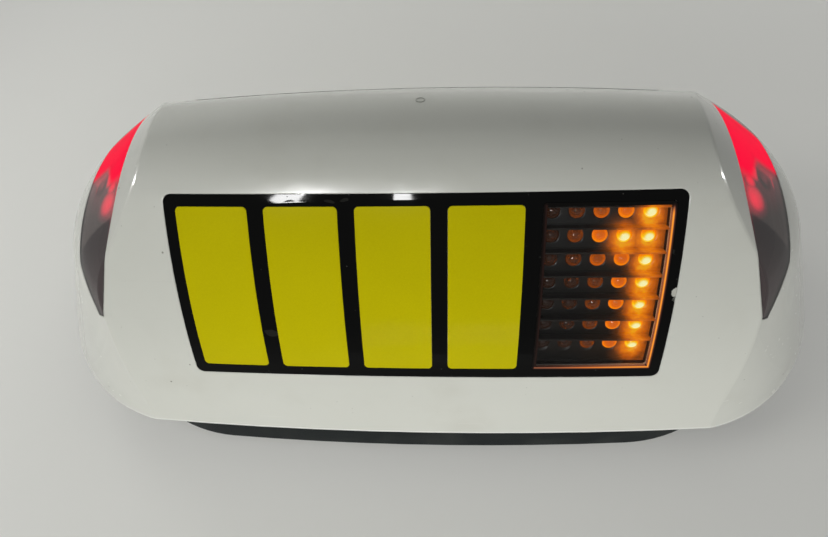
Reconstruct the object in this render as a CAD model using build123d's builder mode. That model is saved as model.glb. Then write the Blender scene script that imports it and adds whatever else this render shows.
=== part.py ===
"""Taxi roof light: a moulded cover with a lit sign and a dot display on each long face,
a smoked lamp lens over each end, and a dark base pan that is bolted to the roof.

Millimetres. X runs along the sign, Y from front to rear, Z up. The origin is under the
middle of the base, on the surface that the light stands on.
"""
from math import asin, atan2, cos, degrees, hypot, radians, sin, sqrt, tan
import os

from build123d import *

os.makedirs("parts", exist_ok=True)

# Overall sizes
cover_length = 440.0
cover_depth = 207.0
base_height = 24.0
wall = 3.0
seat_gap = 0.15

# The long faces of the cover: one arc from rim to ridge, bowed out in plan, and a ridge
# that falls a little towards both ends
face_radius = 261.6
rim_slope = 70.9
ridge_radius = 48.9
face_bow_radius = 3520.0
ridge_bow_radius = 2300.0
form_margin = 6.0
face_sections = 3
prism_above = 8.0
prism_below = 14.0

# The ends of the cover: a leaning skirt, a shoulder, and a slope up to the ridge. The
# sides lean too, and roll over above; the plan's end and corner arcs tighten upwards.
skirt_slope = 60.2
cap_slope = 35.5
cap_from_end = 105.4
shoulder_blend = 2.4
side_slope = 69.3
side_roll = 27.5
side_roll_power = 3.47
rim_bow_radius = 1900.0
end_flatness = 2.8
end_fade = 4.0
corner_flatness = 18.0
corner_fade = 2.05
side_margin = 2.0
end_sections = 10
crease_round = 3.0

# Sign panel, its lit panes and the display window in it, measured along the face
sign_from_lens = 23.5
sign_over_ridge_round = 2.3
sign_border = 4.25
sign_corner = 3.5
sign_thickness = 1.6
sign_proud = 0.1
notch_radius = 1.3
notch_drop = 3.3
window_corner = 1.5
window_ledge = 1.5
guide_width = 1.8
pane_count = 4
pane_spacing = 7.0
pane_border = 5.0
pane_corner = 2.0

# Dot display: round lamps on a board, behind a grille with a visor over each row
dot_columns = 5
dot_rows = 7
dot_pitch_x = 10.14
dot_pitch_y = 10.45
dot_margin_left = 5.7
dot_margin_right = 8.25
dot_margin_y = 8.65
lamp_diameter = 5.0
lamp_length = 7.0
nose_length = 2.0
nose_radius = 1.2
grille_hole = 6.7
grille_plate = 1.5
grille_margin = 0.2
visor_reach = 3.5
visor_thickness = 0.9
visor_gap = 0.3
visor_lift = 0.15
board_thickness = 1.6
board_gap = 2.0
housing_wall = 2.0
housing_back = 4.0
housing_rib = 3.0
housing_gap = 0.4
ear_size = 9.0
ear_thickness = 2.5
ear_depth = 10.5
pilot_radius = 1.2
pilot_depth = 4.0

# Side lenses, seen in plan: where the lens's outer line, its square cut and its tip lie,
# in from the cover's end or from the lens's outer line, and in from the cover's side
lens_from_end = 57.0
lens_width = 29.5
lens_tip_in, lens_tip_from_side = 12.4, 38.2
lens_cut_in, lens_cut_from_side = 9.0, 39.7
lens_corner_from_side = 61.2
lens_thickness = 2.5
lens_gap = 0.2
lens_flange = 4.0
lens_flange_thickness = 2.0
lens_prism_low = 40.0

# End lamps: a row of round lamps in a strip of cups, on a bracket from the pan
cup_count = 5
cup_pitch = 14.0
cup_radius = 6.0
cup_throat = 3.2
strip_width = 16.0
strip_depth = 8.0
strip_drop = 14.0
strip_board = 1.6
end_lamp_length = 6.0
bracket_thickness = 1.5
bracket_width = 30.0
bracket_foot = 16.0

# Base pan
pan_from_end = 21.0
pan_beyond_side = 2.0
pan_flare = 4.0
pan_wall = 3.0
pan_floor = 3.0
pan_flange = 2.5
flange_inset = 0.5
seal_height = 2.0
seal_width = 7.0
seal_inset = 2.5
seal_groove = 0.8
seal_gap = 0.2
bolt_spacing_x = 280.0
bolt_spacing_y = 110.0
bolt_hole_radius = 3.25
boss_radius = 8.0
boss_height = 12.0
post_from_end = 50.0
post_y = 50.0
post_radius = 4.5
pillar_radius = 5.5
screw_radius = 1.6
screw_clearance = 1.9
screw_depth = 14.0
screw_head_radius = 3.2
pillar_cap = 4.0
slot_width = 5.6
slot_height = 1.7

# Cable glands: a six-sided head outside, in a round pocket, and a hollow spigot
gland_places = (60.0, -100.0)
gland_radius = 7.0
gland_hole = 5.0
gland_bore = 3.2
gland_length = 14.0
gland_head = 3.0
gland_pocket = 8.0
gland_pad = 9.6
gland_pad_thickness = 3.5

# Worked out from the sizes above
half_length = cover_length / 2
half_depth = cover_depth / 2
face_y = -half_depth + face_radius * sin(radians(rim_slope))
face_z = base_height - face_radius * cos(radians(rim_slope))
ridge_height = face_z + sqrt((face_radius - ridge_radius) ** 2 - face_y ** 2) + ridge_radius
cover_height = ridge_height - base_height
cap_reach = half_length - cap_from_end
end_radius = half_depth + end_flatness
corner_radius = half_depth - corner_flatness
lens_outer = half_length - lens_from_end
lens_inner = lens_outer - lens_width
window_width = (dot_columns - 1) * dot_pitch_x + dot_margin_left + dot_margin_right
window_height = (dot_rows - 1) * dot_pitch_y + 2 * dot_margin_y
sign_width = 2 * (lens_inner - sign_from_lens)
sign_height = window_height + 2 * sign_border
window_centre = (sign_width - window_width) / 2 - sign_border
window_left = window_centre - window_width / 2
dot_centre = window_left + dot_margin_left + (dot_columns - 1) * dot_pitch_x / 2
ridge_turn = degrees(asin(face_y / (face_radius - ridge_radius)))
sign_slope = ridge_turn + degrees((sign_height / 2 - sign_over_ridge_round) / face_radius)


def arc_sag(radius, x):
    """How far an arc has fallen away from its middle at a distance x from it."""
    return radius - sqrt(radius ** 2 - x ** 2)


def face_plane(x=0.0, depth=0.0):
    """Plane on the front face at the sign's middle: x along the sign, y up the face."""
    lean = radians(sign_slope)
    radius = face_radius - depth
    origin = (x, face_y - radius * sin(lean), face_z + radius * cos(lean))
    return Plane(origin=origin, x_dir=(1, 0, 0), z_dir=(0, -sin(lean), cos(lean)))


def end_reach(z, inset):
    """Half length of the cover at height z above its rim: the skirt's line and the cap's
    line, blended into each other by a hyperbola at the shoulder."""
    skirt_angle, cap_angle = radians(skirt_slope), radians(cap_slope)
    skirt = half_length - z / tan(skirt_angle) - inset / sin(skirt_angle)
    cap = cap_reach + (cover_height - z) / tan(cap_angle) - inset / sin(cap_angle)
    return (skirt + cap) / 2 - hypot((skirt - cap) / 2, shoulder_blend)


def side_reach(z, inset):
    """Half depth of the end form at height z above the rim: a leaning line that rolls
    inwards with a power of the height. The inset is measured square to it."""
    share = z / cover_height
    straight_lean = 1 / tan(radians(side_slope))
    roll_lean = side_roll * side_roll_power / cover_height * share ** (side_roll_power - 1)
    reach = half_depth + side_margin - z * straight_lean - side_roll * share ** side_roll_power
    return reach - inset * hypot(1, straight_lean + roll_lean)


def plan_outline(length_half, depth_half, z):
    """Plan of the cover at height z: bowed front and rear, round ends and round corners.

    The corner arc touches the bowed front and the round end, so its centre is where two
    circles about their centres meet.
    """
    share = depth_half / half_depth
    end = depth_half + (end_radius - half_depth) * share ** end_fade
    corner = corner_radius * share ** corner_fade
    front_y = rim_bow_radius - depth_half
    end_x = length_half - end
    from_front, from_end = rim_bow_radius - corner, end - corner
    span = hypot(front_y, end_x)
    along = (from_front ** 2 - from_end ** 2 + span ** 2) / (2 * span)
    across = sqrt(from_front ** 2 - along ** 2)
    middle_x = (along * end_x + across * front_y) / span
    middle_y = front_y + (across * end_x - along * front_y) / span
    front_turn = atan2(middle_y - front_y, middle_x)
    end_turn = atan2(middle_y, middle_x - end_x)
    corner_turn = (front_turn + end_turn) / 2
    x_front = rim_bow_radius * cos(front_turn)
    y_front = front_y + rim_bow_radius * sin(front_turn)
    x_end = end_x + end * cos(end_turn)
    y_end = end * sin(end_turn)
    x_mid = middle_x + corner * cos(corner_turn)
    y_mid = middle_y + corner * sin(corner_turn)
    with BuildSketch(Plane.XY.offset(z)) as outline:
        with BuildLine():
            for rear in (1, -1):
                middle = (0, -rear * depth_half)
                ThreePointArc((-x_front, rear * y_front), middle, (x_front, rear * y_front))
            for side in (1, -1):
                ThreePointArc((side * x_end, y_end), (side * length_half, 0), (side * x_end, -y_end))
                for rear in (1, -1):
                    ThreePointArc(
                        (side * x_front, rear * y_front),
                        (side * x_mid, rear * y_mid),
                        (side * x_end, rear * y_end),
                    )
        make_face()
    return outline.sketch


def faces_block(inset):
    """Front face, rounded ridge and rear face in one loft from end to end, moved in by
    inset. Each section is two long arcs and the ridge arc that touches both; towards the
    ends the long arcs move back, as the faces bow, and down, as the ridge falls."""
    radius = face_radius - inset
    crown = ridge_radius - inset
    low = base_height - form_margin
    with BuildPart() as block:
        for step in range(-face_sections, face_sections + 1):
            x = step / face_sections * (half_length + form_margin)
            centre_y = face_y + arc_sag(face_bow_radius, x)
            centre_z = face_z - arc_sag(ridge_bow_radius, x)
            ridge_z = centre_z + sqrt((radius - crown) ** 2 - centre_y ** 2)
            turn_low = asin((low - centre_z) / radius)
            turn_high = atan2(ridge_z - centre_z, centre_y)
            turns = (turn_low, (turn_low + turn_high) / 2, turn_high)
            face = [(radius * cos(turn) - centre_y, centre_z + radius * sin(turn)) for turn in turns]
            with BuildSketch(Plane.YZ.offset(x)):
                with BuildLine():
                    for side in (-1, 1):
                        ThreePointArc(*[(side * y, z) for y, z in face])
                    y_low, y_high, z_high = face[0][0], *face[2]
                    ThreePointArc((-y_high, z_high), (0, ridge_z + crown), (y_high, z_high))
                    Line((-y_low, low), (y_low, low))
                make_face()
        loft()
    return block.part


def ends_block(inset):
    """The skirt, shoulder and sloping ends, lofted from plan outlines, moved in by inset."""
    top = cover_height + 1 - inset
    with BuildPart() as block:
        for level in range(end_sections + 1):
            z = level / end_sections * top
            add(plan_outline(end_reach(z, inset), side_reach(z, inset), base_height + z))
        loft()
    return block.part


def cover_block(inset):
    """The whole outer form, moved in by inset and cut off level at the rim."""
    with BuildPart() as block:
        add(faces_block(inset))
        add(ends_block(inset), mode=Mode.INTERSECT)
    return block.part


def skin(outer, inner, shape):
    """The part of the layer between two forms that lies inside a shape."""
    with BuildPart() as piece:
        add(outer)
        add(inner, mode=Mode.SUBTRACT)
        add(shape, mode=Mode.INTERSECT)
    return piece.part


def face_prism(x, width, height, corner):
    """A rounded rectangle on the front face, pushed through it square to the sign."""
    with BuildPart() as prism:
        with BuildSketch(face_plane(x).offset(-prism_below)):
            RectangleRounded(width, height, corner)
        extrude(amount=prism_above + prism_below)
    return prism.part


def rear(part):
    """The same piece on the rear face: its mirror image front to back, so that both
    displays are at the same end."""
    return mirror(part, Plane.XZ)


def save(part, label):
    """Name a finished piece and write its file."""
    part.label = label
    export_step(part, f"parts/{label}.step")


# Forms shared by the cover and what lies flush in it
inner_form = cover_block(wall)
proud_form = cover_block(-sign_proud)
sign_back_form = cover_block(sign_thickness - sign_proud)
recess_form = cover_block(sign_thickness - sign_proud + seat_gap)
flange_top_form = cover_block(wall + seat_gap)
flange_back_form = cover_block(wall + seat_gap + lens_flange_thickness)

# The outer form has its creases rounded, where the long faces meet the ends
with BuildPart() as outer:
    add(cover_block(0))
    long_faces = outer.faces().filter_by(lambda f: abs(f.center().X) < 1 and f.center().Z > base_height + 1)
    creases = long_faces.edges().filter_by(lambda e: abs(e.center().X) > half_length / 4)
    fillet(creases, crease_round)
outer_form = outer.part


def lens_prism(grow):
    """Upright prism over the right lens, grown sideways; its plan is a crescent that is
    cut off square along the shoulder and runs to a tip on the front and rear face."""
    tip = (lens_outer - lens_tip_in, half_depth - lens_tip_from_side)
    cut = (lens_outer - lens_cut_in, half_depth - lens_cut_from_side)
    corner = (lens_outer, half_depth - lens_corner_from_side)
    half = (corner, cut, tip)
    with BuildPart() as prism:
        with BuildSketch(Plane.XY.offset(base_height + lens_prism_low)):
            with BuildLine():
                Polyline(*[(x, -y) for x, y in reversed(half)], *half)
                ThreePointArc((tip[0], -tip[1]), (lens_inner, 0), tip)
            make_face()
            if grow:
                offset(amount=grow, kind=Kind.INTERSECTION)
        extrude(amount=cover_height)
    return prism.part


# Sign panels: a glossy black sheet in a shallow recess, open at its panes and window,
# with a small gate notch in its edge
field_left = pane_border - sign_width / 2
field_right = window_left - pane_spacing
pane_height = sign_height - 2 * pane_border
pane_width = (field_right - field_left - (pane_count - 1) * pane_spacing) / pane_count
pane_places = [field_left + pane_width / 2 + i * (pane_width + pane_spacing) for i in range(pane_count)]
sign_prism = face_prism(0, sign_width, sign_height, sign_corner)

with BuildPart() as front_sign_panel:
    add(skin(proud_form, sign_back_form, sign_prism))
    add(face_prism(window_centre, window_width, window_height, window_corner), mode=Mode.SUBTRACT)
    for x in pane_places:
        add(face_prism(x, pane_width, pane_height, pane_corner), mode=Mode.SUBTRACT)
    with Locations(face_plane(sign_width / 2)):
        with Locations((0, -notch_drop)):
            Cylinder(notch_radius, 4 * prism_above, mode=Mode.SUBTRACT)
save(front_sign_panel.part, "front_sign_panel")
save(rear(front_sign_panel.part), "rear_sign_panel")

# Lit panes of the sign, left blank
with BuildPart() as front_sign_panes:
    for x in pane_places:
        shape = face_prism(x, pane_width - 2 * seat_gap, pane_height - 2 * seat_gap, pane_corner)
        add(skin(proud_form, sign_back_form, shape))
save(front_sign_panes.part, "front_sign_panes")
save(rear(front_sign_panes.part), "rear_sign_panes")

# Display window: a smoked sheet inside a narrow ring of clear tinted plastic, the guide,
# which lies on the ledge of the cover's opening and glows at its edge
guide_outer = (window_width - 2 * seat_gap, window_height - 2 * seat_gap)
guide_inner = (window_width - 2 * guide_width, window_height - 2 * guide_width)
sheet_size = (guide_inner[0] - 2 * seat_gap, guide_inner[1] - 2 * seat_gap)
with BuildPart() as front_window_guide:
    add(skin(proud_form, sign_back_form, face_prism(window_centre, *guide_outer, window_corner)))
    add(face_prism(window_centre, *guide_inner, window_corner / 2), mode=Mode.SUBTRACT)
save(front_window_guide.part, "front_window_guide")
save(rear(front_window_guide.part), "rear_window_guide")

with BuildPart() as front_display_window:
    add(skin(proud_form, sign_back_form, face_prism(window_centre, *sheet_size, window_corner / 2)))
save(front_display_window.part, "front_display_window")
save(rear(front_display_window.part), "rear_display_window")

# Dot display, built on planes square to the sign's middle, at depths under it
opening_width = window_width - 2 * window_ledge
opening_height = window_height - 2 * window_ledge
inside_width = opening_width + housing_wall
inside_height = opening_height + housing_wall
body_width = inside_width + 2 * housing_wall
body_height = inside_height + 2 * housing_wall
plate_width = inside_width - 2 * grille_margin
plate_height = inside_height - 2 * grille_margin


def face_drop(x, along):
    """How far the face lies under the plane at the sign's middle, at a length x and a
    distance along the slope: its bow, the fall of its ridge and the sag of its arc."""
    lean = radians(sign_slope)
    bow, fall = arc_sag(face_bow_radius, x), arc_sag(ridge_bow_radius, x)
    return bow * sin(lean) + fall * cos(lean) + arc_sag(face_radius, along)


def display_plane(depth, x=window_centre):
    """Plane at a depth under the sign's middle, centred on the window or on the dots."""
    return face_plane(x).offset(-depth)


window_right = window_centre + window_width / 2
visor_top = face_drop(window_right, window_height / 2) + sign_thickness - sign_proud + visor_gap
grille_depth = visor_top + visor_reach
board_depth = grille_depth + grille_plate + board_gap
housing_front = face_drop(window_centre + body_width / 2, body_height / 2) + wall + housing_gap
housing_depth = board_depth + board_thickness + housing_back

with BuildPart() as front_visor_grille:
    with BuildSketch(display_plane(grille_depth + grille_plate)):
        Rectangle(plate_width, plate_height)
    extrude(amount=grille_plate)
    with BuildSketch(display_plane(grille_depth + grille_plate, dot_centre)):
        with GridLocations(dot_pitch_x, dot_pitch_y, dot_columns, dot_rows):
            Circle(grille_hole / 2)
    extrude(amount=grille_plate, mode=Mode.SUBTRACT)
    with BuildSketch(display_plane(grille_depth)):
        with Locations((0, (grille_hole + visor_thickness) / 2 + visor_lift)):
            with GridLocations(1, dot_pitch_y, 1, dot_rows):
                Rectangle(opening_width - 2 * grille_margin, visor_thickness)
    extrude(amount=visor_reach)
save(front_visor_grille.part, "front_visor_grille")
save(rear(front_visor_grille.part), "rear_visor_grille")

with BuildPart() as front_display_lamps:
    with BuildSketch(display_plane(board_depth, dot_centre)):
        with GridLocations(dot_pitch_x, dot_pitch_y, dot_columns, dot_rows):
            Circle(lamp_diameter / 2)
    extrude(amount=lamp_length - nose_length)
    with Locations(display_plane(board_depth - lamp_length + nose_length / 2, dot_centre)):
        with GridLocations(dot_pitch_x, dot_pitch_y, dot_columns, dot_rows):
            Cone(lamp_diameter / 2, nose_radius, nose_length)
save(front_display_lamps.part, "front_display_lamps")
save(rear(front_display_lamps.part), "rear_display_lamps")

with BuildPart() as front_display_board:
    with BuildSketch(display_plane(board_depth + board_thickness)):
        Rectangle(plate_width, plate_height)
    extrude(amount=board_thickness)
save(front_display_board.part, "front_display_board")
save(rear(front_display_board.part), "rear_display_board")

# Housing that holds grille and board, screwed to bosses inside the cover
ear_x = body_width / 2 + ear_size / 2 - seat_gap
ear_y = inside_height / 2 - ear_size
ear_places = [(sx * ear_x, sy * ear_y) for sx in (1, -1) for sy in (1, -1)]
with BuildPart() as front_display_housing:
    with BuildSketch(display_plane(housing_depth)):
        Rectangle(body_width, body_height)
    extrude(amount=housing_depth - housing_front)
    with BuildSketch(display_plane(board_depth + board_thickness)):
        Rectangle(inside_width, inside_height)
    extrude(amount=board_depth + board_thickness, mode=Mode.SUBTRACT)
    with BuildSketch(display_plane(housing_depth - housing_wall)):
        Rectangle(inside_width - 2 * housing_rib, inside_height - 2 * housing_rib)
    extrude(amount=housing_depth, mode=Mode.SUBTRACT)
    with BuildSketch(display_plane(ear_depth + ear_thickness)):
        with Locations(*ear_places):
            Rectangle(ear_size, ear_size)
    extrude(amount=ear_thickness)
    with BuildSketch(display_plane(ear_depth + ear_thickness)):
        with Locations(*ear_places):
            Circle(screw_radius)
    extrude(amount=ear_thickness, mode=Mode.SUBTRACT)
save(front_display_housing.part, "front_display_housing")
save(rear(front_display_housing.part), "rear_display_housing")

# Cover: a moulded wall with recesses, openings, bosses and screw posts
with BuildPart() as face_bosses:
    with BuildSketch(display_plane(ear_depth)):
        with Locations(*ear_places):
            Circle(ear_size / 2 - seat_gap)
    extrude(amount=ear_depth)
    add(outer_form, mode=Mode.INTERSECT)
    with BuildSketch(display_plane(ear_depth)):
        with Locations(*ear_places):
            Circle(pilot_radius)
    extrude(amount=pilot_depth, mode=Mode.SUBTRACT)
post_x = half_length - post_from_end
with BuildPart() as cover_posts:
    with BuildSketch(Plane.XY.offset(base_height)):
        with GridLocations(2 * post_x, 2 * post_y, 2, 2):
            Circle(post_radius)
    extrude(amount=cover_height)
    add(outer_form, mode=Mode.INTERSECT)
with BuildPart() as cover_shell:
    add(outer_form)
    add(inner_form, mode=Mode.SUBTRACT)
    add(face_bosses.part)
    add(rear(face_bosses.part))
    add(cover_posts.part)
    recess = skin(
        proud_form,
        recess_form,
        face_prism(0, sign_width + 2 * seat_gap, sign_height + 2 * seat_gap, sign_corner),
    )
    opening = face_prism(window_centre, opening_width, opening_height, window_corner)
    for cut in (recess, opening):
        add(cut, mode=Mode.SUBTRACT)
        add(rear(cut), mode=Mode.SUBTRACT)
    add(lens_prism(lens_gap), mode=Mode.SUBTRACT)
    add(mirror(lens_prism(lens_gap), Plane.YZ), mode=Mode.SUBTRACT)
    with BuildSketch(Plane.XY.offset(base_height)):
        with GridLocations(2 * post_x, 2 * post_y, 2, 2):
            Circle(screw_radius)
    extrude(amount=screw_depth, mode=Mode.SUBTRACT)
save(cover_shell.part, "cover_shell")

# Side lenses: flush with the cover, hollow behind, with a flange that is bonded inside it
with BuildPart() as lens_hollow:
    add(cover_block(lens_thickness))
    add(lens_prism(-lens_thickness), mode=Mode.INTERSECT)
with BuildPart() as right_side_lens:
    add(skin(outer_form, flange_back_form, lens_prism(0)))
    add(skin(flange_top_form, flange_back_form, lens_prism(lens_flange)))
    add(lens_hollow.part, mode=Mode.SUBTRACT)
save(right_side_lens.part, "right_side_lens")
save(mirror(right_side_lens.part, Plane.YZ), "left_side_lens")

# End lamps: a strip of cups with a lamp in each, on a board that a bracket holds up
strip_x = (lens_inner + lens_outer) / 2
strip_length = cup_count * cup_pitch
floor_top = seal_height - seal_groove + pan_floor


def strip_plane(depth):
    """Plane at a depth under the middle of the right lens, with its x axis along Y."""
    low, high = base_height, ridge_height
    while high - low > 0.01:
        middle = (low + high) / 2
        if end_reach(middle - base_height, 0) > strip_x:
            low = middle
        else:
            high = middle
    lean = radians(cap_slope)
    plane = Plane(origin=(strip_x, 0, low), x_dir=(0, 1, 0), z_dir=(sin(lean), 0, cos(lean)))
    return plane.offset(-depth)


board_top = strip_drop + strip_depth
with BuildPart() as right_lamp_strip:
    with BuildSketch(strip_plane(board_top)):
        Rectangle(strip_length, strip_width)
    extrude(amount=strip_depth)
    with Locations(strip_plane(strip_drop + strip_depth / 2)):
        with GridLocations(cup_pitch, 1, cup_count, 1):
            Cone(cup_throat, cup_radius, strip_depth, mode=Mode.SUBTRACT)
with BuildPart() as right_end_lamps:
    with BuildSketch(strip_plane(board_top)):
        with GridLocations(cup_pitch, 1, cup_count, 1):
            Circle(lamp_diameter / 2)
    extrude(amount=end_lamp_length - nose_length)
    with Locations(strip_plane(board_top - end_lamp_length + nose_length / 2)):
        with GridLocations(cup_pitch, 1, cup_count, 1):
            Cone(lamp_diameter / 2, nose_radius, nose_length)
with BuildPart() as right_lamp_board:
    with BuildSketch(strip_plane(board_top + strip_board)):
        Rectangle(strip_length, strip_width)
    extrude(amount=strip_board)

# Bracket: a bent sheet with a foot on the pan's floor and a leaning top under the board
seat = strip_plane(board_top + strip_board)
with BuildPart() as right_lamp_bracket:
    with BuildSketch(seat.offset(-bracket_thickness)):
        Rectangle(bracket_width, strip_width)
    extrude(amount=bracket_thickness)
    stem_top = seat.origin.Z - bracket_thickness
    with BuildSketch(Plane.XZ.offset(-bracket_width / 2)):
        with Locations((seat.origin.X, (floor_top + stem_top) / 2)):
            Rectangle(bracket_thickness, stem_top - floor_top)
        with Locations((seat.origin.X - bracket_foot / 2, floor_top + bracket_thickness / 2)):
            Rectangle(bracket_foot, bracket_thickness)
    extrude(amount=bracket_width)
for piece, label in (
    (right_lamp_strip.part, "lamp_strip"),
    (right_end_lamps.part, "end_lamps"),
    (right_lamp_board.part, "lamp_board"),
    (right_lamp_bracket.part, "lamp_bracket"),
):
    save(piece, f"right_{label}")
    save(mirror(piece, Plane.YZ), f"left_{label}")

# Base pan: a tapered tray under a flange that closes the cover
flange_low = base_height - pan_flange
pan_low = seal_height - seal_groove
pan_half_length = half_length - pan_from_end
pan_half_depth = half_depth + pan_beyond_side
gland_height = (flange_low + pan_low) / 2


def tray(inset, low, high):
    """The tray's tapered form between two heights, moved in by inset."""
    with BuildPart() as form:
        for z in (low, high):
            narrow = inset + pan_flare * z / flange_low
            add(plan_outline(pan_half_length - narrow, pan_half_depth - narrow, z))
        loft()
    return form.part


def pan_ring(outer_inset, inner_inset, height):
    """A flat ring that follows the pan's outline, between two distances in from it."""
    with BuildPart() as ring:
        with BuildSketch(Plane.XY):
            add(plan_outline(pan_half_length - outer_inset, pan_half_depth - outer_inset, 0))
            inner = plan_outline(pan_half_length - inner_inset, pan_half_depth - inner_inset, 0)
            add(inner, mode=Mode.SUBTRACT)
        extrude(amount=height)
    return ring.part


def gland_seat(x):
    """Where the flat bottom of a gland's pocket stands: just inside the wall's outer
    face at the pocket's top, which is where the leaning wall lies furthest in."""
    top = gland_height + gland_pocket
    return pan_half_depth - pan_flare * top / flange_low - arc_sag(rim_bow_radius, abs(x) + gland_pocket)


with BuildPart() as base_pan:
    add(tray(0, pan_low, flange_low))
    with BuildSketch(Plane.XY.offset(flange_low)):
        add(plan_outline(half_length - flange_inset, half_depth - flange_inset, 0))
    extrude(amount=pan_flange)
    add(tray(pan_wall, pan_low + pan_floor, base_height), mode=Mode.SUBTRACT)
    with BuildSketch(Plane.XY.offset(pan_low)):
        with GridLocations(bolt_spacing_x, bolt_spacing_y, 2, 2):
            Circle(boss_radius)
    extrude(amount=boss_height)
    with BuildSketch(Plane.XY.offset(pan_low)):
        with GridLocations(2 * post_x, 2 * post_y, 2, 2):
            Circle(pillar_radius)
    extrude(amount=base_height - pan_low)
    for x in gland_places:
        with BuildSketch(Plane.XZ.offset(-gland_seat(x))):
            with Locations((x, gland_height)):
                Circle(gland_pad)
        extrude(amount=gland_pad_thickness)
        with BuildSketch(Plane.XZ.offset(-gland_seat(x))):
            with Locations((x, gland_height)):
                Circle(gland_pocket)
        extrude(amount=-2 * pan_wall, mode=Mode.SUBTRACT)
        with BuildSketch(Plane.XZ.offset(-gland_seat(x))):
            with Locations((x, gland_height)):
                Circle(gland_hole)
        extrude(amount=gland_length, mode=Mode.SUBTRACT)
    with BuildSketch(Plane.XY):
        with GridLocations(bolt_spacing_x, bolt_spacing_y, 2, 2):
            Circle(bolt_hole_radius)
        with GridLocations(2 * post_x, 2 * post_y, 2, 2):
            Circle(screw_clearance)
    extrude(amount=base_height, mode=Mode.SUBTRACT)
    with BuildSketch(Plane.XY):
        with GridLocations(2 * post_x, 2 * post_y, 2, 2):
            Circle(screw_head_radius)
    extrude(amount=base_height - pillar_cap, mode=Mode.SUBTRACT)
    with Locations((0, pan_half_depth, flange_low - slot_height / 2)):
        Box(slot_width, 4 * pan_wall, slot_height, mode=Mode.SUBTRACT)
    with Locations((0, -pan_half_depth, flange_low - slot_height / 2)):
        Box(slot_width, 4 * pan_wall, slot_height, mode=Mode.SUBTRACT)
    add(pan_ring(seal_inset, seal_inset + seal_width, seal_height), mode=Mode.SUBTRACT)
save(base_pan.part, "base_pan")

# Rubber seal round the underside, which the light stands on
with BuildPart() as base_seal:
    add(pan_ring(seal_inset + seal_gap, seal_inset + seal_width - seal_gap, seal_height))
save(base_seal.part, "base_seal")

# Cable glands in the rear wall: a six-sided head outside, a hollow spigot through the wall
with BuildPart() as cable_glands:
    for x in gland_places:
        with BuildSketch(Plane.XZ.offset(-gland_seat(x))):
            with Locations((x, gland_height)):
                RegularPolygon(gland_radius, 6)
        extrude(amount=-gland_head)
        with BuildSketch(Plane.XZ.offset(-gland_seat(x))):
            with Locations((x, gland_height)):
                Circle(gland_hole - seat_gap)
        extrude(amount=gland_length)
        with BuildSketch(Plane.XZ.offset(-gland_seat(x) - gland_head)):
            with Locations((x, gland_height)):
                Circle(gland_bore)
        extrude(amount=gland_length + gland_head, mode=Mode.SUBTRACT)
save(cable_glands.part, "cable_glands")
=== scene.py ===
"""Taxi roof light: the looks of each piece, from the seal it stands on up to its lenses."""
from math import asin, cos, pi, radians, sin, sqrt

import bmesh
import bpy
import numpy as np
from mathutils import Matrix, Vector


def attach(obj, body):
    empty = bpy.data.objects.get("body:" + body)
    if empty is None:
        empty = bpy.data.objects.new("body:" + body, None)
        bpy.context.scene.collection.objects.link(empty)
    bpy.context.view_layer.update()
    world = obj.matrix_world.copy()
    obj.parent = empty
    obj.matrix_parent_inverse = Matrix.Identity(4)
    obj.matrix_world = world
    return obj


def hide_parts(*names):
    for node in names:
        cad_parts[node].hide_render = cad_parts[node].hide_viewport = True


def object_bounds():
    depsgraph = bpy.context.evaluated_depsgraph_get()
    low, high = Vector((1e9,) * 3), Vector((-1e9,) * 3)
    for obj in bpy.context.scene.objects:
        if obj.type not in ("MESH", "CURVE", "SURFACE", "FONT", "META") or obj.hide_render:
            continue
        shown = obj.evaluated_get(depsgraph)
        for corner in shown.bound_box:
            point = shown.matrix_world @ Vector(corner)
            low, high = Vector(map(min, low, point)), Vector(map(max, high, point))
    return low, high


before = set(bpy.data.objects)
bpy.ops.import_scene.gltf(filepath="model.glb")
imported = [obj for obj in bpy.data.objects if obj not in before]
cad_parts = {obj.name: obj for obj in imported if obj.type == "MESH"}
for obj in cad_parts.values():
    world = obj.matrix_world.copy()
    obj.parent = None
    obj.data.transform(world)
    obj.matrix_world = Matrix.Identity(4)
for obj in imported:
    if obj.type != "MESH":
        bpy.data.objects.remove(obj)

cad_box = [list(corner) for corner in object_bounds()]

# Camera: a hand-held wide lens, close in front of the sign and well above it, turned
# a little to the left. It stands 0.3 m above the surface that the light stands on.
scene = bpy.context.scene
camera_data = bpy.data.cameras.new("camera")
camera_data.sensor_width = 36
camera_data.lens = 22.45
camera_data.clip_start = 0.01
camera = bpy.data.objects.new("camera", camera_data)
camera.location = (0.0110, -0.16275, 0.3017)
camera.rotation_euler = (radians(29.72), radians(2.989), radians(1.619))
scene.collection.objects.link(camera)
scene.camera = camera


# Studio: soft lamps close round the light, low in front and behind, higher on the left, and
# weak on the right. They don't show in gloss; four small ones do, and give the glints.
middle = Vector((0, 0, 0.07))
soft_white, glint_white = (1.0, 1.0, 0.97), (1.0, 1.0, 1.0)


def add_lamp(name, place, size, power, glint=False):
    """An area lamp at place that faces the light; size is its width and height."""
    data = bpy.data.lights.new(name, "AREA")
    data.shape = "RECTANGLE"
    data.size, data.size_y = size
    data.energy = power
    data.color = glint_white if glint else soft_white
    lamp = bpy.data.objects.new(name, data)
    lamp.location = place
    lamp.rotation_euler = (middle - lamp.location).to_track_quat("-Z", "Y").to_euler()
    lamp.visible_camera = False
    lamp.visible_diffuse, lamp.visible_glossy = not glint, glint
    scene.collection.objects.link(lamp)


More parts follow.
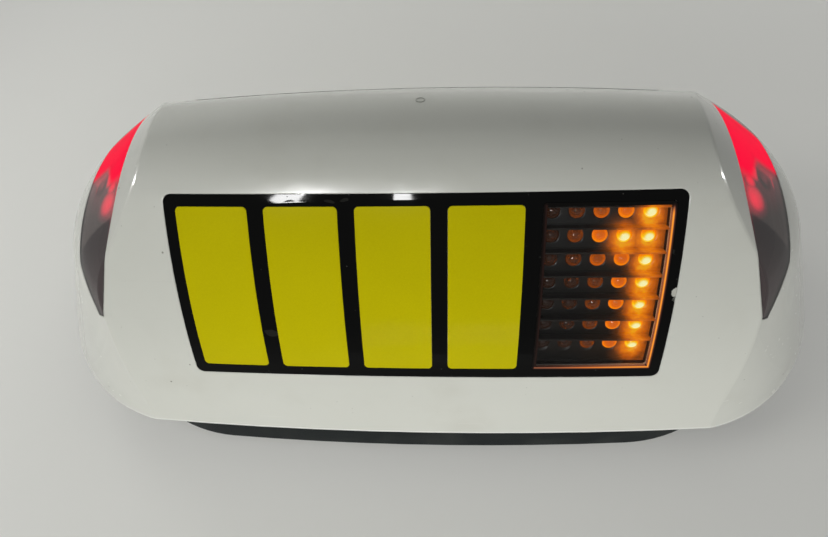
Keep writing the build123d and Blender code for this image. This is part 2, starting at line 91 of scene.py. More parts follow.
add_lamp("front_lamp", (0.03, -0.75, 0.085), (0.44, 0.10), 3.1)
add_lamp("left_lamp", (-0.72, -0.10, 0.55), (0.4, 0.4), 2.4)
add_lamp("rear_left_lamp", (-0.75, 0.85, 0.60), (0.5, 0.4), 2.4)
add_lamp("rear_lamp", (0.25, 0.90, 0.10), (0.8, 0.14), 3.6)
add_lamp("right_lamp", (0.90, -0.10, 0.16), (0.3, 0.2), 0.8)
add_lamp("left_glint_lamp", (-0.572, -1.001, 1.293), (0.13, 0.32), 17, glint=True)
add_lamp("middle_glint_lamp", (-0.138, -1.103, 1.310), (0.075, 0.26), 8, glint=True)
add_lamp("right_end_glint_lamp", (1.37, -0.05, 0.96), (0.10, 0.10), 3.0, glint=True)
add_lamp("left_end_glint_lamp", (-1.42, 0.02, 0.88), (0.10, 0.10), 3.0, glint=True)
scene.view_settings.view_transform = "Standard"


# Floor and room: plain and pale. The floor is the first thing with a material, so how a
# material is put together stands here.
class Wire:
    """One output of a node in a material. Sums and products written with it add Math
    nodes; any other node comes from Wire.add."""

    def __init__(self, tree, socket):
        self.tree, self.socket = tree, socket

    @classmethod
    def add(cls, tree, kind, settings=None, output=0, **sockets):
        """Adds a node: its settings first, then the values or wires of its sockets.

        A socket is given by its name with _ for a space, or by its number as in _6.
        """
        node = tree.nodes.new("ShaderNode" + kind)
        for key, value in (settings or {}).items():
            if key == "stops":
                ramp = node.color_ramp.elements
                while len(ramp) < len(value):
                    ramp.new(1.0)
                for element, (position, colour) in zip(ramp, value):
                    element.position, element.color = position, colour
            else:
                setattr(node, key, value)
        for key, value in sockets.items():
            place = int(key[1:]) if key[0] == "_" else key.replace("_", " ")
            if isinstance(value, Wire):
                tree.links.new(value.socket, node.inputs[place])
            else:
                node.inputs[place].default_value = value
        return cls(tree, node.outputs[output])

    def math(self, operation, *others, clamp=False):
        """A Math node on this wire and up to two other wires or numbers."""
        values = {f"_{i}": v for i, v in enumerate((self, *others))}
        return Wire.add(self.tree, "Math", {"operation": operation, "use_clamp": clamp}, **values)

    def __add__(self, other):
        return self.math("ADD", other)

    __radd__ = __add__

    def __mul__(self, other):
        return self.math("MULTIPLY", other)

    __rmul__ = __mul__

    def __sub__(self, other):
        return self.math("SUBTRACT", other)

    def __rsub__(self, other):
        return (self * -1).math("ADD", other)

    def __pow__(self, other):
        return self.math("POWER", other)

    def __abs__(self):
        return self.math("ABSOLUTE")

    def step(self, low, high):
        """0 below low, 1 above high, and a smooth rise between; falls if low > high."""
        if low > high:
            return 1 - self.step(high, low)
        settings = {"interpolation_type": "SMOOTHSTEP"}
        return Wire.add(self.tree, "MapRange", settings, Value=self, From_Min=low, From_Max=high)

    def tint(self, low, high):
        """Colour low where this wire is 0 and colour high where it is 1."""
        return Wire.add(self.tree, "Mix", {"data_type": "RGBA"}, 2, _0=self, _6=low, _7=high)

    def ramp(self, *stops):
        """A colour from this wire, between stops of a value and a colour."""
        return Wire.add(self.tree, "ValToRGB", {"stops": stops}, Fac=self)


def rgb(red, green, blue):
    """A colour that is written as the screen shows it, 0 to 255, made linear: by a power of
    2.4, and by a straight line for the darkest."""
    shares = [level / 255 for level in (red, green, blue)]
    return (*[((s + 0.055) / 1.055) ** 2.4 if s > 0.04045 else s / 12.92 for s in shares], 1)


class Finish:
    """A material: its shader, its own coordinates in metres, and the patterns on them."""

    def __init__(self, name, colour, roughness, **constants):
        self.material = bpy.data.materials.new(name)
        self.material.use_nodes = True
        self.tree = self.material.node_tree
        self.shader = self.tree.nodes["Principled BSDF"]
        self.shader.inputs["Base Color"].default_value = colour
        self.shader.inputs["Roughness"].default_value = roughness
        for key, value in constants.items():
            self.shader.inputs[key.replace("_", " ")].default_value = value
        self.place = self.add("TexCoord", output=3)

    def add(self, kind, settings=None, output=0, **sockets):
        return Wire.add(self.tree, kind, settings, output, **sockets)

    def noise(self, scale, detail=3.0, rough=0.5, place=None):
        """Soft noise with features of about 1 / scale metres."""
        place = place or self.place
        return self.add("TexNoise", Vector=place, Scale=scale, Detail=detail, Roughness=rough)

    def stretched(self, scale, turn=(0, 0, 0)):
        """The coordinates, turned and then scaled along each axis."""
        return self.add("Mapping", Vector=self.place, Rotation=turn, Scale=scale)

    def specks(self, scale, size, share):
        """1 on small round dots: size is their radius in cells, share how many cells have one.
        A cell's random colour says whether it has one."""
        away = self.add("TexVoronoi", {"feature": "F1"}, 0, Vector=self.place, Scale=scale)
        colour = self.add("TexVoronoi", {"feature": "F1"}, 1, Vector=self.place, Scale=scale)
        pick = self.add("SeparateColor", output=0, Color=colour)
        return away.step(size, size * 0.5) * pick.step(1 - share, 1 - share + 0.01)

    def axes(self):
        """The x, y and z coordinates as three wires."""
        return [self.add("SeparateXYZ", output=axis, Vector=self.place) for axis in range(3)]

    def feed(self, **wires):
        """Links wires to the shader's own sockets."""
        for key, wire in wires.items():
            self.tree.links.new(wire.socket, self.shader.inputs[key.replace("_", " ")])

    def bump(self, height, depth, **sockets):
        """Raises the surface by height times depth, in metres."""
        self.feed(Normal=self.add("Bump", Height=height, Distance=depth, **sockets))

    def put_on(self, *pieces):
        """Gives the material to CAD nodes, by name, and to new pieces."""
        for piece in pieces:
            mesh = (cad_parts[piece] if isinstance(piece, str) else piece).data
            mesh.materials.clear()
            mesh.materials.append(self.material)


floor_reach = 6
floor_corners = [(sx * floor_reach, sy * floor_reach, 0) for sx, sy in
                 ((-1, -1), (1, -1), (1, 1), (-1, 1))]
floor_mesh = bpy.data.meshes.new("floor")
floor_mesh.from_pydata(floor_corners, [], [(0, 1, 2, 3)])
floor = bpy.data.objects.new("floor", floor_mesh)
scene.collection.objects.link(floor)
floor_near, floor_far = rgb(205, 205, 201), rgb(64, 64, 62)
floor_paint = Finish("floor_paint", floor_near, 0.75, Emission_Strength=1.0)


def seen(tree):
    """1 where the floor or the room is seen, straight or in gloss or through a clear part."""
    rays = [Wire.add(tree, "LightPath", output=kind) for kind in
            ("Is Camera Ray", "Is Glossy Ray", "Is Transmission Ray")]
    return rays[0].math("MAXIMUM", rays[1]).math("MAXIMUM", rays[2])


# Further out the paint is darker and its own pale light stronger, so that the lamps make
# no bright patches there and the floor meets the room without a line.
x, y, z = floor_paint.axes()
outward = ((x ** 2 + y ** 2) ** 0.5).step(0.30, 0.68)
lift = outward.tint(rgb(122, 122, 120), rgb(174, 174, 171))
floor_paint.feed(
    Base_Color=outward.tint(floor_near, floor_far),
    Emission_Color=seen(floor_paint.tree).tint(rgb(0, 0, 0), lift),
)
floor_paint.put_on(floor)
room = bpy.data.worlds.new("room")
room.use_nodes = True
scene.world = room
walls = seen(room.node_tree).tint(rgb(94, 95, 94), rgb(180, 181, 179))
room.node_tree.links.new(walls.socket, room.node_tree.nodes["Background"].inputs["Color"])

# Seal: a ring of black rubber in a groove under the pan, which the light stands on. It
# is cut from sheet and glued in, and a little dust clings to it.
rubber = Finish("seal_rubber", rgb(28, 28, 29), 0.7)
rubber_grain = rubber.noise(900, 4)
rubber_dust = rubber.noise(60, 4, 0.6).step(0.5, 0.75)
rubber.feed(
    Base_Color=rubber_dust.tint(rgb(25, 25, 26), rgb(52, 51, 48)),
    Roughness=rubber_grain * 0.25 + 0.55,
)
rubber.bump(rubber_grain, 0.00008)
rubber.put_on("base_seal")

# Base pan: dark grey plastic, moulded with a fine spark grain. Road dust has settled in
# the grain, more of it towards the lower edge.
pan = Finish("pan_plastic", rgb(26, 30, 31), 0.55, IOR=1.16)
pan_grain = pan.noise(2600, 2)
pan_low = pan.axes()[2].step(0.022, 0.0)
pan_dust = (pan.noise(38, 5, 0.6) + pan_low * 0.12).step(0.5, 0.76)
pan.feed(
    Base_Color=pan_dust.tint(rgb(24, 28, 29), rgb(44, 47, 46)),
    Roughness=pan_dust * 0.12 + pan_grain * 0.2 + 0.42,
)
pan.bump(pan_grain, 0.00006)
pan.put_on("base_pan")


# Cover screws: four zinc-plated pan-head screws, driven up from under the pan through
# its pillars into the cover's posts. Each head has a six-lobed socket.
def grid_piece(name, points, closed=True):
    """One piece from grids of points: each grid closes round its last index, and a row
    whose points are all one point becomes a pole. Points that meet are made one."""
    index = np.arange(points[..., 0].size).reshape(points.shape[:-1])
    near, far = index[:, :-1], index[:, 1:]
    quads = np.stack((near, np.roll(near, -1, 2), np.roll(far, -1, 2), far), axis=-1)
    mesh = bpy.data.meshes.new(name)
    mesh.from_pydata(points.reshape(-1, 3).tolist(), [], quads.reshape(-1, 4).tolist())
    work = bmesh.new()
    work.from_mesh(mesh)
    bmesh.ops.remove_doubles(work, verts=work.verts, dist=1e-7)
    if closed:
        bmesh.ops.recalc_face_normals(work, faces=work.faces)
    work.to_mesh(mesh)
    work.free()
    mesh.shade_smooth()
    mesh.set_sharp_from_angle(angle=radians(38))
    piece = bpy.data.objects.new(name, mesh)
    scene.collection.objects.link(piece)
    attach(piece, "root")
    return piece


def turned(name, profile, bases, axes, steps=28, lobes=0.0):
    """A profile turned about an axis at each base: base + height along the axis + radius
    times (cos a, sin a) across it. Lobes swell and shrink the radius six times a turn, by
    the share that the profile's third number gives. All the bases may share one axis."""
    radius, height, lobed = np.array([(*p, 0)[:3] for p in profile]).T
    turn = np.linspace(0, 2 * pi, steps, endpoint=False)
    bases = np.array(bases, float)
    axes = np.broadcast_to(np.array(axes, float), bases.shape)
    across = np.cross(axes, (0.8, 0.6, 0.1))
    across /= np.linalg.norm(across, axis=1)[:, None]
    beside = np.cross(axes, across)
    ring = np.cos(turn)[:, None] * across[:, None] + np.sin(turn)[:, None] * beside[:, None]
    reach = radius[:, None] * (1 + lobes * lobed[:, None] * np.cos(6 * turn))
    rise = height[:, None, None] * axes[:, None, None]
    return grid_piece(name, bases[:, None, None] + rise + reach[..., None] * ring[:, None])


pillar_x, pillar_y, head_seat_z = 0.170, 0.050, 0.020
screw_places = [
    (sx * pillar_x, sy * pillar_y, head_seat_z) for sx in (-1, 1) for sy in (-1, 1)
]
# Radius, height and lobing: the socket, the head's crown and rim, the shank and its point.
screw_profile = [
    (0, 0.0008), (0.0013, 0.0008, 1), (0.0014, 0.0021, 1), (0.0019, 0.00225), (0.0024, 0.0019),
    (0.0028, 0.0013), (0.0029, 0.0007), (0.0029, 0.0), (0.0015, 0.0), (0.0015, -0.0126),
    (0.0012, -0.0135), (0, -0.0138),
]
screws = turned("cover_screws", screw_profile, screw_places, (0, 0, -1), 36, lobes=0.16)
zinc = Finish("screw_zinc", rgb(176, 178, 172), 0.34, Metallic=1.0)
zinc_wear = zinc.noise(700, 4, 0.6)
zinc.feed(
    Base_Color=zinc_wear.step(0.4, 0.7).tint(rgb(182, 184, 178), rgb(140, 132, 112)),
    Roughness=zinc_wear * 0.3 + 0.2,
)
zinc.put_on(screws)

# Glands: black nylon, smoother than the pan, set in round pockets of its rear wall. A soft
# rubber ring sits in each mouth, and stands a little out of the head.
nylon = Finish("gland_nylon", rgb(26, 27, 28), 0.38)
nylon.feed(Roughness=nylon.noise(300, 3) * 0.2 + 0.28)
nylon.bump(nylon.noise(1200, 2), 0.00004)
nylon.put_on("cable_glands")
mouth_places = [(0.060, 0.10368, 0.01135), (-0.100, 0.10183, 0.01135)]
ring_turn = np.linspace(0, 2 * pi, 17)
mouth_radius, lip_width, lip_height, lip_rise = 0.0041, 0.0008, 0.0007, 0.0001
ring_profile = list(zip(
    mouth_radius + lip_width * np.cos(ring_turn), lip_rise + lip_height * np.sin(ring_turn)
))
mouth_rings = turned("gland_rings", ring_profile, mouth_places, (0, 1, 0), 32)
rubber.put_on(mouth_rings)

# End lamps: metallised cups in a strip on a green board, held up by a bent sheet bracket.
# In each cup stands a red lamp with a clear round nose; the light of the lit ones fills
# the middle of the row.
cups = Finish("cup_metal", rgb(205, 206, 208), 0.16, Metallic=1.0)
cups.feed(Roughness=cups.noise(140, 4).step(0.3, 0.8) * 0.2 + 0.1)
cups.put_on("left_lamp_strip", "right_lamp_strip")
board = Finish("circuit_board", rgb(22, 70, 44), 0.42)
board_weave = board.noise(700, 2)
board.feed(
    Base_Color=board_weave.tint(rgb(18, 58, 36), rgb(30, 84, 52)),
    Roughness=board_weave * 0.2 + 0.3,
)
board.put_on("left_lamp_board", "right_lamp_board", "front_display_board", "rear_display_board")
bracket = Finish("bracket_sheet", rgb(178, 180, 182), 0.35, Metallic=1.0)
brushed = bracket.noise(60, 3, 0.6, bracket.stretched((1, 40, 1)))
bracket.feed(Roughness=brushed * 0.3 + 0.22)
bracket.put_on("left_lamp_bracket", "right_lamp_bracket")

end_lean = radians(35.5)
lamp_radius, collar_radius, collar_height, shoulder_height = 0.0025, 0.0029, 0.0008, 0.0035
dome_turn = np.linspace(0, pi / 2, 9)
dome = [(lamp_radius * sin(t), shoulder_height + lamp_radius * cos(t)) for t in dome_turn]
end_lamp_profile = [
    *dome, (lamp_radius, collar_height), (collar_radius, collar_height), (collar_radius, 0.0),
    (0, 0),
]
end_resin = Finish("end_lamp_resin", rgb(120, 10, 24), 0.08, Emission_Strength=1.0)
lit_middle = abs(end_resin.axes()[1]).step(0.034, 0.016)
end_resin.feed(Emission_Color=lit_middle.tint(rgb(60, 0, 10), rgb(255, 30, 70)))
end_board_x, end_board_z = 0.135475, 0.101953
for side, end_name in ((-1, "left"), (1, "right")):
    bases = [(side * end_board_x, y, end_board_z) for y in (-0.028, -0.014, 0, 0.014, 0.028)]
    outward_axis = (side * sin(end_lean), 0, cos(end_lean))
    end_lamps = turned(end_name + "_end_lamp_domes", end_lamp_profile, bases, outward_axis)
    end_resin.put_on(end_lamps)
    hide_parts(end_name + "_end_lamps")

# Display lamps: seven rows of five amber lamps, each a low dome in a flared cup, on a
# carrier that is bent like the sign. The last column is lit, and the second lamp of the
# column before it; their light is painted into the domes and cups beside them as a glow
# that fades.
face_lean = radians(51.688)
face_radius, face_y, face_z = 0.2616, 0.143699, -0.0616
bow_radius, fall_radius = 3.52, 2.3


def face_point(x, up, depth):
    """A point of the front face's arc: at x along it, up it from the sign's middle and
    at a depth under it. The arc's centre moves back and down towards the ends."""
    turn = face_lean - up / (face_radius - depth)
    y = face_y + x ** 2 / (2 * bow_radius) - (face_radius - depth) * np.sin(turn)
    z = face_z - x ** 2 / (2 * fall_radius) + (face_radius - depth) * np.cos(turn)
    return np.stack(np.broadcast_arrays(x, y, z), axis=-1)


def on_face(points):
    """The x and the length up the arc of points on either face: the inverse of that."""
    x = points[:, 0]
    back = face_y + x ** 2 / (2 * bow_radius) + np.abs(points[:, 1])
    high = points[:, 2] - face_z + x ** 2 / (2 * fall_radius)
    return x, (face_lean - np.arctan2(back, high)) * (face_radius - dot_depth)


def give_glow(piece, glow_at):
    """Stores how bright each point of a piece is, for its material to read."""
    points = np.empty(3 * len(piece.data.vertices))
    piece.data.vertices.foreach_get("co", points)
    layer = piece.data.attributes.new("glow", "FLOAT", "POINT")
    layer.data.foreach_set("value", np.clip(glow_at(*on_face(points.reshape(-1, 3))), 0, 1))


dot_depth = 0.0070
dot_first, dot_pitch_x, dot_pitch_up, dot_middle_up = 0.0564, 0.01035, 0.01055, 0.0036
dot_columns, dot_rows = 5, 7
last_column, last_row, middle_row = dot_columns - 1, dot_rows - 1, (dot_rows - 1) / 2
columns, rows = np.meshgrid(np.arange(dot_columns), np.arange(dot_rows))
columns, rows = columns.ravel(), rows.ravel()
dot_x = dot_first + columns * dot_pitch_x
dot_up = dot_middle_up + (middle_row - rows) * dot_pitch_up
lit = (columns == last_column) | ((columns == last_column - 1) & (rows == 1))
lit_x, lit_up = dot_x[lit], dot_up[lit]
cup_radius, dome_base, dome_height, cup_foot = 0.00335, 0.0002, 0.0017, -0.0030
low_dome = [(lamp_radius * sin(t), dome_base + dome_height * cos(t)) for t in dome_turn]
cup_profile = [
    *low_dome, (lamp_radius, -0.0006), (0.00262, -0.0010), (0.0028, -0.0009), (0.0031, -0.0003),
    (0.00328, 0.0), (cup_radius, -0.00008), (cup_radius, cup_foot), (0, cup_foot),
]


def lamp_glow(x, up):
    """It falls off with the distance from the lamp to the nearest lit one, and inside a
    lamp with the distance from its core, or from its cup's lower lip if it is unlit. On an
    unlit lamp it is painted light: the lit ones' glow, caught brightest at the cup's rim."""
    column = np.clip(np.rint((x - dot_first) / dot_pitch_x), 0, last_column)
    row = np.clip(np.rint(middle_row - (up - dot_middle_up) / dot_pitch_up), 0, last_row)
    own_x = (x - dot_first - column * dot_pitch_x) / cup_radius
    own_up = (up - dot_middle_up - (middle_row - row) * dot_pitch_up) / cup_radius
    away = np.hypot(column[:, None] - columns[lit], row[:, None] - rows[lit]).min(axis=1)
    core = 1.05 - 0.30 * (own_x ** 2 + (own_up + 0.3) ** 2)
    edge = own_x ** 2 + own_up ** 2
    painted_caught_glow = 0.70 * np.exp(-0.95 * (away - 1)) * (0.80 + 0.24 * edge - 0.12 * own_up)
    return np.where(away < 0.5, core, painted_caught_glow)


amber = Finish("display_lamp_resin", rgb(34, 17, 8), 0.1, IOR=1.35, Emission_Strength=1.25)
lamp_light = amber.add("Attribute", {"attribute_name": "glow"}, 2)
# Painted sparkle: soft noise and bright specks in the glow of the partly lit lamps.
painted_glow_sparkle = (amber.noise(1500, 2) - 0.5) * 0.34 + amber.specks(1700, 0.34, 0.16) * 0.5
painted_glow_sparkle = painted_glow_sparkle * lamp_light.step(0.8, 0.1) * lamp_light.step(0.0, 0.12)
amber.feed(Emission_Color=(lamp_light + painted_glow_sparkle).ramp(
    (0.0, rgb(9, 7, 6)), (0.16, rgb(50, 26, 12)), (0.36, rgb(134, 60, 8)),
    (0.62, rgb(228, 104, 8)), (0.80, rgb(255, 136, 0)), (0.92, rgb(255, 204, 16)),
    (1.0, rgb(255, 250, 182)),
))
dot_turn = face_lean - dot_up / (face_radius - dot_depth)
dot_axes = np.stack((np.zeros_like(dot_turn), -np.sin(dot_turn), np.cos(dot_turn)), axis=-1)
for side, face_name in ((1, "front"), (-1, "rear")):
    bases = face_point(dot_x, dot_up, dot_depth) * (1, side, 1)
    axes = dot_axes * (1, side, 1)
    lamps = turned(face_name + "_lamp_domes", cup_profile, bases, axes, 26)
    give_glow(lamps, lamp_glow)
    amber.put_on(lamps)
    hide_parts(face_name + "_display_lamps")

# Lamp carrier and visors: black plastic, a bent sheet with a hole for each lamp and a
# blade over each row. A painted glow of the lit lamps spreads over them. The housing behind
# holds them, and is of the same plastic.
carrier_left, carrier_right, carrier_reach_up, carrier_wall = 0.0521, 0.1049, 0.0389, 0.0012
visor_thickness, visor_tip_depth, visor_root_depth, visor_lift = 0.0011, 0.0022, 0.0073, 0.00338
visor_highest = 0.0374
spill_width, spill_height, spill_drop = 0.0066, 0.0078, 0.0022
strip_from, strip_fade, haze_from = -0.002, 0.003, 0.075


def spill_glow(x, up):
    """Painted light: the light of each lit lamp spreads over the carrier as a bell curve, a
    little below the lamp, and some of it stays in the strip to the right of the last column.
    Past haze_from lies a faint painted haze."""
    beside = (x[:, None] - lit_x) / spill_width
    under = (up[:, None] + spill_drop - lit_up) / spill_height
    spread = 1.04 * np.exp(-(beside ** 2 + under ** 2)).max(axis=1)
    strip = np.clip((x - lit_x.max() - strip_from) / strip_fade, 0, 1) * 0.36
    return np.maximum(spread, strip) + 0.04 * (x > haze_from)


black = Finish("display_black", rgb(22, 20, 19), 0.5)
black.feed(Roughness=black.noise(500, 3) * 0.3 + 0.35)
black.put_on("front_display_housing", "rear_display_housing")
visor_black = Finish("visor_black", rgb(27, 22, 17), 0.42, IOR=1.35, Emission_Strength=1.1)
spill = visor_black.add("Attribute", {"attribute_name": "glow"}, 2)
# Painted glow on the black plastic, mottled, with painted sparks of light where it is bright.
glow_mottle = visor_black.noise(420, 4, 0.65) * 0.9 + 0.55
painted_sparks = visor_black.specks(1100, 0.24, 0.07) * spill.step(0.1, 0.3) * 0.4
visor_black.feed(
    Roughness=visor_black.noise(500, 3) * 0.3 + 0.25,
    Emission_Color=(spill * glow_mottle + painted_sparks).ramp(
        (0.0, rgb(0, 0, 0)), (0.08, rgb(20, 11, 4)), (0.30, rgb(96, 48, 8)),
        (0.60, rgb(204, 96, 2)), (0.85, rgb(250, 136, 0)), (1.0, rgb(255, 170, 10)),
    ),
)

# The carrier is one cell per lamp: its grid runs from the cell's four edges, halfway to the
# lamps beside it, straight in to the round hole.
x_middles = (dot_x[:last_column] + dot_x[1:dot_columns]) / 2
x_edges = np.concatenate(([carrier_left], x_middles, [carrier_right]))
up_middles = (dot_up[:-dot_columns:dot_columns] + dot_up[dot_columns::dot_columns]) / 2
up_edges = np.concatenate(([carrier_reach_up], up_middles, [-carrier_reach_up]))
side_steps = np.linspace(0, 1, 8, endpoint=False)
zero, one = np.zeros_like(side_steps), np.ones_like(side_steps)
loop_x = np.concatenate((side_steps, one, 1 - side_steps, zero))
loop_up = np.concatenate((zero, side_steps, one, 1 - side_steps))
cell_left, cell_right = x_edges[columns], x_edges[columns + 1]
cell_top, cell_low = up_edges[rows], up_edges[rows + 1]
cell_x = cell_left[:, None] + (cell_right - cell_left)[:, None] * loop_x
cell_up = cell_low[:, None] + (cell_top - cell_low)[:, None] * loop_up
toward = np.arctan2(cell_up - dot_up[:, None], cell_x - dot_x[:, None])
hole_gap = 0.00004
hole_radius = cup_radius + hole_gap
hole_x = dot_x[:, None] + hole_radius * np.cos(toward)
hole_up = dot_up[:, None] + hole_radius * np.sin(toward)
blend = np.linspace(1, 0, 5)[:, None]
sheet_x = hole_x[:, None] + (cell_x - hole_x)[:, None] * blend
sheet_up = hole_up[:, None] + (cell_up - hole_up)[:, None] * blend

# A visor is one outline, square at its root and round at its tip, carried along the row;
# it shrinks to a point at both ends, which closes it.
visor_inset = 0.0005
blade_x = np.linspace(carrier_left + visor_inset, carrier_right - visor_inset, 24)
blade_x = np.concatenate((blade_x[:1], blade_x, blade_x[-1:]))[:, None]
row_up = np.minimum(dot_up[::dot_columns, None, None] + visor_lift, visor_highest)
half = visor_thickness / 2
nose = np.linspace(-pi / 2, pi / 2, 7)
ring_up = np.concatenate(([-half, half], half * np.sin(-nose)))
ring_depth = np.concatenate(
    ([visor_root_depth, visor_root_depth], visor_tip_depth + half - half * np.cos(nose))
)
swell = np.ones((len(blade_x), 1))
swell[[0, -1]] = 0
blade_up = row_up + half + ring_up * swell
blade_depth = ring_depth * swell + (1 - swell) * (visor_root_depth + visor_tip_depth) / 2
for side, face_name in ((1, "front"), (-1, "rear")):
    sheet = face_point(sheet_x, sheet_up, dot_depth) * (1, side, 1)
    carrier = grid_piece(face_name + "_lamp_carrier", sheet[:, :, ::side], closed=False)
    solid = carrier.modifiers.new("wall", "SOLIDIFY")
    solid.thickness, solid.offset = carrier_wall, -1
    visors = grid_piece(
        face_name + "_visors", face_point(blade_x, blade_up, blade_depth) * (1, side, 1)
    )
    for piece in (carrier, visors):
        give_glow(piece, spill_glow)
        visor_black.put_on(piece)
    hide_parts(face_name + "_visor_grille")

# Cover: off-white moulded plastic with a soft shine. Years on a roof have left it with
# faint stains, dark specks, hair scratches and a worn gloss. A thin pale line along its
# rim is a painted highlight of its rounded lower edge.
cover = Finish("cover_plastic", rgb(214, 215, 207), 0.22, Coat_Weight=0.7, Coat_Roughness=0.035)
flow = cover.noise(9, 3, 0.5)
stain = cover.noise(26, 3, 0.5).step(0.5, 0.85)
dots = cover.specks(150, 0.10, 0.05)
fine_dots = cover.specks(420, 0.14, 0.03)
scratch = cover.noise(30, 2, 0.5, cover.stretched((0.5, 11, 11), (0.2, 0.3, 0.5))).step(0.71, 0.73)
shell_tone = flow.tint(rgb(211, 212, 204), rgb(218, 219, 212))
dirty = (stain * 0.3).tint(shell_tone, rgb(190, 188, 176))
spotted = (dots * 0.75 + fine_dots * 0.35 + scratch * 0.1).tint(dirty, rgb(92, 88, 78))
# Painted highlight: a thin pale band at the rim's height, for the light on its rounded edge.
rim_highlight_high, rim_highlight_low = 0.0254, 0.0247
painted_rim_highlight = cover.axes()[2].step(rim_highlight_high, rim_highlight_low)
cover.feed(
    Base_Color=painted_rim_highlight.tint(spotted, rgb(240, 241, 236)),
    Roughness=stain * 0.05 + scratch * 0.1 + flow * 0.08 + 0.17,
)
soft_edges = cover.add("Bevel", {"samples": 6}, Radius=0.0011)
cover.bump(cover.noise(320, 2) * 0.35 + scratch * -0.15, 0.00003, Normal=soft_edges)
cover.put_on("cover_shell")

# Gate mark: a small raised ring on top of the cover's rear slope, left by the mould where
# the plastic ran in. It is of the cover's own plastic, with a little dirt on it.
ridge_radius = 0.0489
mark_x, mark_y = 0.0005, 0.0128
mark_turn = asin(mark_y / ridge_radius)
mark_z = cad_box[1][2] - ridge_radius + sqrt(ridge_radius ** 2 - mark_y ** 2)
mark_radius, mark_width, mark_height = 0.0019, 0.00026, 0.00022
mark_profile = list(zip(
    mark_radius + mark_width * np.cos(ring_turn), mark_height * np.sin(ring_turn)
))
mark_axis = (0, sin(mark_turn), cos(mark_turn))
mark = turned("gate_mark", mark_profile, [(mark_x, mark_y, mark_z)], mark_axis, 40)
mark_finish = Finish("gate_mark_plastic", rgb(150, 150, 142), 0.35)
mark_finish.feed(Base_Color=mark_finish.noise(900, 3).tint(rgb(128, 127, 118), rgb(182, 182, 174)))
mark_finish.put_on(mark)

# Sign panels: a sheet printed gloss black, with dust and hair scratches on its face, and a
# chip out of the front one's right edge. It is glued into a shallow recess of the cover.
sign = Finish("sign_black", rgb(6, 6, 6), 0.05, IOR=1.18)
sign_dust = sign.specks(420, 0.16, 0.06)
sign_hair = sign.noise(24, 2, 0.5, sign.stretched((3, 9, 1), (0.1, 0.9, 0.4))).step(0.72, 0.735)
x, y, z = sign.axes()
chip_x, chip_y, chip_z = 0.1101, -0.0592, 0.0992
from_chip = ((x - chip_x) ** 2 + (y - chip_y) ** 2 + (z - chip_z) ** 2) ** 0.5
chip = (from_chip + sign.noise(520, 2) * 0.0022).step(0.0034, 0.0031)
dusty_black = (sign_dust + sign_hair * 0.3).tint(rgb(5, 5, 5), rgb(60, 60, 56))
sign.feed(
    Base_Color=chip.tint(dusty_black, rgb(196, 196, 188)),
    Roughness=sign.noise(60, 4, 0.6).step(0.4, 0.8) * 0.04 + (sign_dust + chip) * 0.4 + 0.03,
)
sign.put_on("front_sign_panel", "rear_sign_panel")

# Lit panes: plain yellow film, left blank. A weak painted glow, standing for the light
# behind it, lifts its colour, and the film shows a fine grain.
pane = Finish("pane_yellow", rgb(190, 178, 4), 0.12, IOR=1.16, Emission_Strength=0.05)
pane_grain = pane.noise(1500, 2)
pane_cloud = pane.noise(35, 3, 0.5)
pane_tone = (pane_grain * 0.6 + pane_cloud * 0.4).tint(rgb(184, 173, 0), rgb(204, 193, 4))
pane.feed(Base_Color=pane_tone, Emission_Color=pane_tone)
pane.put_on("front_sign_panes", "rear_sign_panes")

# Window guide: a narrow ring of clear tinted plastic round the window sheet. The lit
# column feeds it, so a painted glow lies along its right edge and fades along its lower one.
sign_middle_y, sign_middle_z = -0.061565, 0.100577
guide = Finish("guide_tint", rgb(10, 8, 7), 0.12, IOR=1.18, Emission_Strength=1.0)
x, y, z = guide.axes()
up = (z - sign_middle_z) * sin(face_lean) - (abs(y) + sign_middle_y) * cos(face_lean)
window_middle, window_reach_x, window_reach_up = 0.078495, 0.025455, 0.0382
beyond_x = abs(x - window_middle) - window_reach_x
beyond_up = abs(up) - window_reach_up
across = beyond_x.math("MAXIMUM", beyond_up)
hot_line = across.step(0.0010, 0.0006) * across.step(-0.0001, 0.0002)
line = hot_line * 0.6 + across.step(0.0022, 0.0) * 0.4
right_edge = (x - window_middle - window_reach_x).step(-0.0004, 0.0002) * up.step(0.0392, 0.034)
low_edge = (up + window_reach_up).step(0.0004, -0.0002) * (x.step(0.052, 0.100) * 0.62 + 0.38)
left_edge = (x - window_middle + window_reach_x).step(0.0004, -0.0002) * 0.09
fed = right_edge.math("MAXIMUM", low_edge).math("MAXIMUM", left_edge)
guide.feed(Emission_Color=(fed * line).ramp(
    (0.0, rgb(0, 0, 0)), (0.15, rgb(44, 24, 20)), (0.4, rgb(150, 88, 62)),
    (0.65, rgb(214, 116, 44)), (1.0, rgb(255, 158, 48)),
))
guide.put_on("front_window_guide", "rear_window_guide")

# Display window: a clear smoked sheet, polished, that sits flush in the guide ring. A
# little dust lies on its face.
window = Finish("window_smoke", rgb(14, 12, 10), 0.03, Alpha=0.16)
window_dust = window.specks(500, 0.16, 0.08)
window.feed(
    Base_Color=window_dust.tint(rgb(12, 10, 9), rgb(120, 116, 108)),
    Roughness=window.noise(80, 3) * 0.06 + 0.02,
)
window.put_on("front_display_window", "rear_display_window")

# Side lenses: smoked red plastic, flush with the cover and bonded in from inside. The red
# light of the lamps behind is painted into the upper part; lower down the lens is painted
# lighter over the housing's arch, with painted shade below it, and a darker band where the
# lens meets its outer edge.
lens = Finish(
    "lens_smoke", rgb(70, 58, 62), 0.12, Alpha=0.8, Specular_IOR_Level=0.0,
    Coat_IOR=1.4, Coat_Roughness=0.05, Emission_Strength=1.0,
)

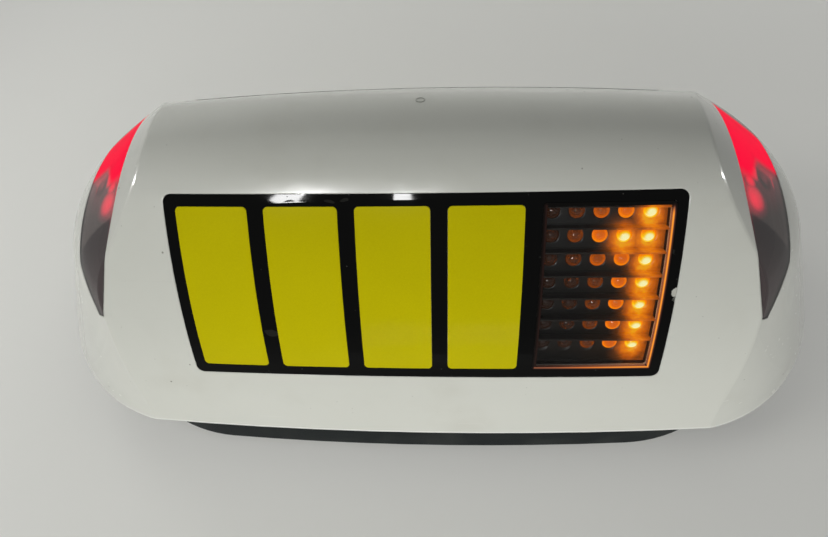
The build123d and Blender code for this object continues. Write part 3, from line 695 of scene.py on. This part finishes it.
# On the lens, reach is the distance from the light's middle along its length, and ahead
# the distance in front of its long axis; along is the same without its sign.
x, y, z = lens.axes()
reach, along, ahead = abs(x), abs(y), y * -1
outer_line, corner_along, inner_centre, inner_radius = 0.163, 0.0423, 0.2667, 0.1330
# The part painted with the lamps' red light, and the housing's arch painted as seen through it.
flood = (ahead + reach.step(0.1400, 0.1500) * 0.0125 - 0.0180).step(0.0050, -0.0050)
flood = flood * (y + (reach - 0.1335) * 0.3).step(0.036, 0.026)
arch = (along - (reach - 0.141) ** 2 * 14).step(0.0322, 0.0340)
# A dark band along the outer edge, which is straight in the middle and slants at its ends,
# and a painted glow along the inner edge, which is an arc.
slanted = (reach - outer_line) * 0.922 + (along - corner_along) * 0.386
rim = (reach - outer_line).math("MAXIMUM", slanted).step(-0.0024, -0.0010) * (1 - flood)
from_centre = ((reach - inner_centre) ** 2 + along ** 2) ** 0.5
bright_rim = from_centre.step(inner_radius - 0.0008, inner_radius) * along.step(0.045, 0.020)
# The painted red light: three lamps' soft pools, one unlit cup painted dark, and a thin veil
# of red.
red = flood * (1 - reach.step(0.1430, 0.1520) * ahead.step(0.0, 0.0060) * 0.35)
for spot_reach, spot_ahead, spot_size, strength in (
    (0.1420, 0.0120, 0.0080, 1.4), (0.1400, 0.0185, 0.0060, 0.9), (0.1420, 0.0250, 0.0090, 1.0),
):
    from_spot = ((reach - spot_reach) ** 2 + (ahead - spot_ahead) ** 2) ** 0.5
    red = red.math("MAXIMUM", from_spot.step(spot_size, 0.0) * strength)
dark_cup_reach, dark_cup_ahead = 0.1505, 0.0130
from_dark_cup = ((reach - dark_cup_reach) ** 2 + (ahead - dark_cup_ahead) ** 2) ** 0.5
dark_cup = from_dark_cup.step(0.0060, 0.0032) * (1 - from_dark_cup.step(0.0032, 0.0004) * 0.8)
veil = (along + (reach - 0.145) * 0.5).step(0.034, 0.010) * 0.22
red = red.math("MAXIMUM", veil) * (1 - dark_cup * 0.9) * (1 - rim * 0.9)
red = red.math("MAXIMUM", bright_rim * 0.5)
cloud = lens.noise(160, 3, 0.5)
low_end = (along + (outer_line - reach) * 0.6).step(0.038, 0.064)
# Painted shade: lighter inside the housing's arch, darkest just below it, lighter at the low end.
smoke_and_shade = arch.tint(rgb(112, 102, 101), low_end.tint(rgb(52, 42, 45), rgb(80, 70, 71)))
lens.feed(
    Base_Color=flood.tint(
        rim.math("MAXIMUM", dark_cup * 0.5).tint(smoke_and_shade, rgb(24, 15, 18)), rgb(60, 2, 12)
    ),
    Emission_Color=(red * (cloud * 0.3 + 0.85)).ramp(
        (0.0, rgb(0, 0, 0)), (0.3, rgb(96, 6, 30)), (0.65, rgb(222, 6, 50)),
        (1.0, rgb(252, 4, 56)),
    ),
    Alpha=arch * 0.12 + flood * 0.22 + 0.74,
    Coat_Weight=1 - flood * 0.9,
)
lens.put_on("left_side_lens", "right_side_lens")
